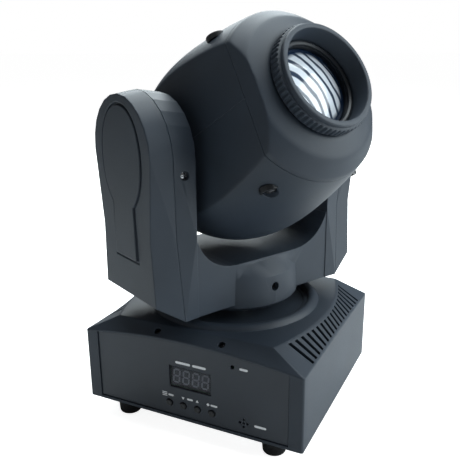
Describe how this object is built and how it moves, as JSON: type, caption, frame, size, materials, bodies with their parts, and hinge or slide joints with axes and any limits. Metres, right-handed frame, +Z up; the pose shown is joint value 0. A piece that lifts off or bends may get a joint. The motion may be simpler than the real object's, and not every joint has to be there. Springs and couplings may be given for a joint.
{
  "type": "moving head light",
  "caption": "Compact moving head spot light: square base with a display and keys, a motorised panning yoke, and a tilting egg-shaped head with a knurled focus ring round a glass lens.",
  "frame": {"origin": "on the pan axis, at the underside of the bottom plate (the feet reach 13 mm lower)", "axes": "+Z up along the pan axis, -Y towards the control panel, +X to the right of it"},
  "size_m": [0.178, 0.1852, 0.2719],
  "materials": {
    "housing": "satin moulded, fine texture",
    "panel": "satin",
    "moulded_black": "satin",
    "display_cover": "polished tinted",
    "rubber": "matt",
    "circuit_board": "solder mask",
    "steel": "zinc plated",
    "aluminium": "machined",
    "motor_black": "black oxide",
    "led_board": "plated copper core board",
    "lens_glass": "polished"
  },
  "bodies": {
    "base": {"base_cover": "housing", "bottom_plate": "steel", "control_panel": "panel", "display_window": "display_cover", "display_module": "moulded_black", "control_board": "circuit_board", "microphone": "aluminium", "rear_panel": "panel", "power_inlet": "moulded_black", "fuse_drawer": "moulded_black", "signal_input": "moulded_black", "signal_output": "moulded_black", "power_supply": "aluminium", "foot_front_left": "rubber", "foot_front_right": "rubber", "foot_rear_left": "rubber", "foot_rear_right": "rubber", "pan_deck": "steel", "pan_bearing": "steel", "pan_motor": "motor_black", "pan_belt": "rubber"},
    "menu_button": {"button_menu": "moulded_black"},
    "down_button": {"button_down": "moulded_black"},
    "up_button": {"button_up": "moulded_black"},
    "enter_button": {"button_enter": "moulded_black"},
    "pan_drive": {"pan_motor_pulley": "aluminium"},
    "yoke": {"yoke_frame": "housing", "arm_cover_left": "housing", "arm_cover_right": "housing", "pan_spindle": "aluminium", "pan_pulley": "aluminium", "tilt_bearing_left": "steel", "tilt_bearing_right": "steel", "tilt_motor": "motor_black", "tilt_belt": "rubber"},
    "tilt_drive": {"tilt_motor_pulley": "aluminium"},
    "head": {"head_upper_shell": "housing", "head_lower_shell": "housing", "head_front_bezel": "housing", "head_rear_grille": "housing", "fan_frame": "moulded_black", "heatsink": "aluminium", "led_module": "led_board", "condenser_lens": "lens_glass", "optical_chassis": "aluminium", "colour_motor": "motor_black", "gobo_motor": "motor_black", "tilt_axle_left": "steel", "tilt_axle_right": "steel", "tilt_pulley": "aluminium"},
    "fan": {"fan_rotor": "moulded_black"},
    "colour_disc": {"colour_wheel": "aluminium"},
    "gobo_disc": {"gobo_wheel": "aluminium"},
    "focus": {"focus_ring": "housing"},
    "lens_carriage": {"lens_cell": "moulded_black", "front_lens": "lens_glass"}
  },
  "joints": [
    {"name": "pan", "type": "hinge", "parent": "base", "child": "yoke", "pos_m": [0, 0, 0.07], "axis": [0, 0, 1], "range_deg": [-332.4, 207.6]},
    {"name": "pan_drive", "type": "hinge", "parent": "base", "child": "pan_drive", "pos_m": [-0.046, 0.02, 0.045], "axis": [0, 0, 1], "range_deg": [-1430, 895]},
    {"name": "tilt", "type": "hinge", "parent": "yoke", "child": "head", "pos_m": [0, 0, 0.1728], "axis": [-0.4462, -0.8949, 0], "range_deg": [-35.4, 154.6]},
    {"name": "tilt_drive", "type": "hinge", "parent": "yoke", "child": "tilt_drive", "pos_m": [0, 0, 0.108], "axis": [-0.4462, -0.8949, 0], "range_deg": [-125, 542]},
    {"name": "fan", "type": "hinge", "parent": "head", "child": "fan", "pos_m": [-0.03088, 0.01539, 0.15256], "axis": [0.7719, -0.3849, 0.506], "continuous": true},
    {"name": "colour_wheel", "type": "hinge", "parent": "head", "child": "colour_disc", "pos_m": [0.02491, -0.01242, 0.16014], "axis": [0.7719, -0.3849, 0.506], "continuous": true},
    {"name": "gobo_wheel", "type": "hinge", "parent": "head", "child": "gobo_disc", "pos_m": [0.00767, -0.00382, 0.20681], "axis": [0.7719, -0.3849, 0.506], "continuous": true},
    {"name": "focus_ring", "type": "hinge", "parent": "head", "child": "focus", "pos_m": [0.07256, -0.03618, 0.22037], "axis": [0.7719, -0.3849, 0.506], "range_deg": [-60, 60]},
    {"name": "lens_travel", "type": "slide", "parent": "head", "child": "lens_carriage", "axis": [0.7719, -0.3849, 0.506], "range_m": [-0.0033, 0.0033]},
    {"name": "press_menu", "type": "slide", "parent": "base", "child": "menu_button", "axis": [0, 1, 0], "range_m": [0, 0.0008], "stiffness_N_per_m": 300},
    {"name": "press_down", "type": "slide", "parent": "base", "child": "down_button", "axis": [0, 1, 0], "range_m": [0, 0.0008], "stiffness_N_per_m": 300},
    {"name": "press_up", "type": "slide", "parent": "base", "child": "up_button", "axis": [0, 1, 0], "range_m": [0, 0.0008], "stiffness_N_per_m": 300},
    {"name": "press_enter", "type": "slide", "parent": "base", "child": "enter_button", "axis": [0, 1, 0], "range_m": [0, 0.0008], "stiffness_N_per_m": 300}
  ],
  "couplings": [
    {"joint": "pan_drive", "follows": "pan", "ratio": 4.2857},
    {"joint": "tilt_drive", "follows": "tilt", "ratio": 3.5},
    {"joint": "lens_travel", "follows": "focus_ring", "m_per_rad": 0.003}
  ]
}
